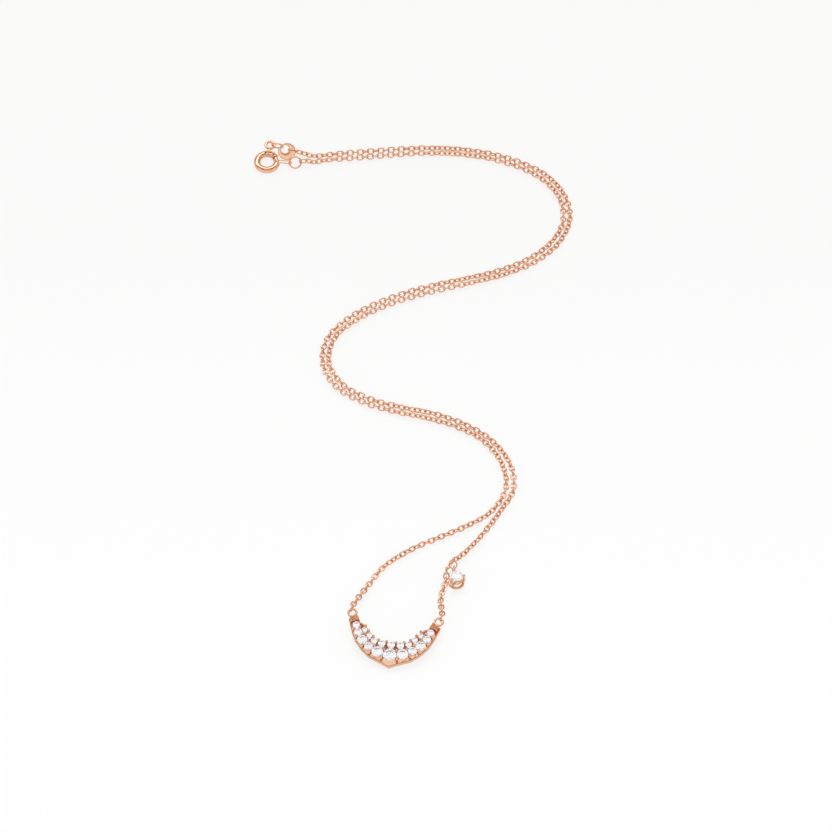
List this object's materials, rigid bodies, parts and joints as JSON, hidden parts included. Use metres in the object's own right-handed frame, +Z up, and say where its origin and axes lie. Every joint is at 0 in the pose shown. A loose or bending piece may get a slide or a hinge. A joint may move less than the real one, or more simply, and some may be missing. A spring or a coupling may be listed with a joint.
{
  "type": "pendant necklace",
  "caption": "Fine cable-chain necklace with a crescent of claw-set round stones, a single-stone charm on one strand and a spring-ring clasp, laid out in an S.",
  "frame": {"origin": "on the table, under the middle of the metalwork (pendant, charm, clasp and their rings), the chain's runs left out", "axes": "+X to the charm side of the laid-out chain, +Y from the pendant towards the clasp, +Z up from the table"},
  "size_m": [0.0644, 0.1286, 0.0034],
  "materials": {
    "rose_gold": "polished rose gold plate",
    "stone": "clear, brilliant cut",
    "spring": "drawn wire"
  },
  "bodies": {
    "chain": {"left_strand": "rose_gold", "right_strand_upper": "rose_gold", "right_strand_lower": "rose_gold", "left_end_link": "rose_gold", "right_end_link": "rose_gold", "charm_carrier_link": "rose_gold", "upper_strand_first_link": "rose_gold", "lower_strand_first_link": "rose_gold"},
    "pendant": {"accent_stone_02": "stone", "accent_stone_03": "stone", "accent_stone_04": "stone", "accent_stone_05": "stone", "accent_stone_06": "stone", "accent_stone_07": "stone", "accent_stone_08": "stone", "accent_stone_09": "stone", "accent_stone_10": "stone", "claw_01": "rose_gold", "claw_02": "rose_gold", "claw_03": "rose_gold", "claw_04": "rose_gold", "claw_05": "rose_gold", "claw_06": "rose_gold", "claw_07": "rose_gold", "claw_08": "rose_gold", "claw_09": "rose_gold", "claw_10": "rose_gold", "gallery_plate": "rose_gold", "left_end_block": "rose_gold", "left_end_loop": "rose_gold", "right_end_block": "rose_gold", "right_end_loop": "rose_gold", "seat_rail": "rose_gold", "stone_01": "stone", "stone_02": "stone", "stone_03": "stone", "stone_04": "stone", "stone_05": "stone", "stone_06": "stone", "stone_07": "stone", "stone_08": "stone", "stone_09": "stone", "stone_10": "stone", "stone_11": "stone"},
    "charm_ring": {"charm_jump_ring": "rose_gold"},
    "charm": {"charm_stone": "stone", "charm_base_ring": "rose_gold", "charm_seat_ring": "rose_gold", "charm_claws": "rose_gold", "charm_bail": "rose_gold"},
    "tag": {"clasp_tag": "rose_gold"},
    "eyelet_link": {"eyelet_link": "rose_gold"},
    "clasp": {"clasp_tube": "rose_gold", "clasp_eyelet": "rose_gold", "clasp_spring": "spring"},
    "bolt": {"clasp_bolt": "rose_gold", "clasp_thumb_knob": "rose_gold"},
    "lower_ring": {"lower_jump_ring": "rose_gold"},
    "catch_link": {"catch_link": "rose_gold"}
  },
  "joints": [
    {"name": "pendant_swing", "type": "hinge", "parent": "chain", "child": "pendant", "pos_m": [-0.00019, -0.05244, 0.00242], "axis": [0.9914, -0.1305, 0], "range_deg": [-70, 0]},
    {"name": "charm_ring_swing", "type": "hinge", "parent": "chain", "child": "charm_ring", "pos_m": [0.01845, -0.04197, 0.00172], "axis": [0.4512, 0.8924, 0], "range_deg": [-8, 8]},
    {"name": "charm_swing", "type": "hinge", "parent": "charm_ring", "child": "charm", "pos_m": [0.01913, -0.04221, 0.00108], "axis": [0.9397, 0.342, 0], "range_deg": [-10, 10]},
    {"name": "tag_swing", "type": "hinge", "parent": "chain", "child": "tag", "pos_m": [-0.01333, 0.06149, 0.00133], "axis": [0, 0.8988, 0.4384], "range_deg": [-2, 2]},
    {"name": "eyelet_link_swing", "type": "hinge", "parent": "tag", "child": "eyelet_link", "pos_m": [-0.01561, 0.06237, 0.00176], "axis": [0, 0.8988, 0.4384], "range_deg": [-2, 2]},
    {"name": "clasp_swing", "type": "hinge", "parent": "eyelet_link", "child": "clasp", "pos_m": [-0.01711, 0.06301, 0.00111], "axis": [0, 0.9135, 0.4067], "range_deg": [-2, 2]},
    {"name": "bolt_slide", "type": "hinge", "parent": "clasp", "child": "bolt", "pos_m": [-0.01848, 0.05888, 0.00082], "axis": [0, -0.0698, 0.9976], "range_deg": [0, 44], "stiffness_Nm_per_rad": 0.00002, "springref_deg": -17.19},
    {"name": "lower_ring_swing", "type": "hinge", "parent": "chain", "child": "lower_ring", "pos_m": [-0.01154, 0.05886, 0.0011], "axis": [0, 0.9135, 0.4067], "range_deg": [-1.5, 1.5]},
    {"name": "catch_link_swing", "type": "hinge", "parent": "lower_ring", "child": "catch_link", "pos_m": [-0.01391, 0.05863, 0.001], "axis": [0, 0.9135, 0.4067], "range_deg": [-2.5, 2.5]}
  ]
}
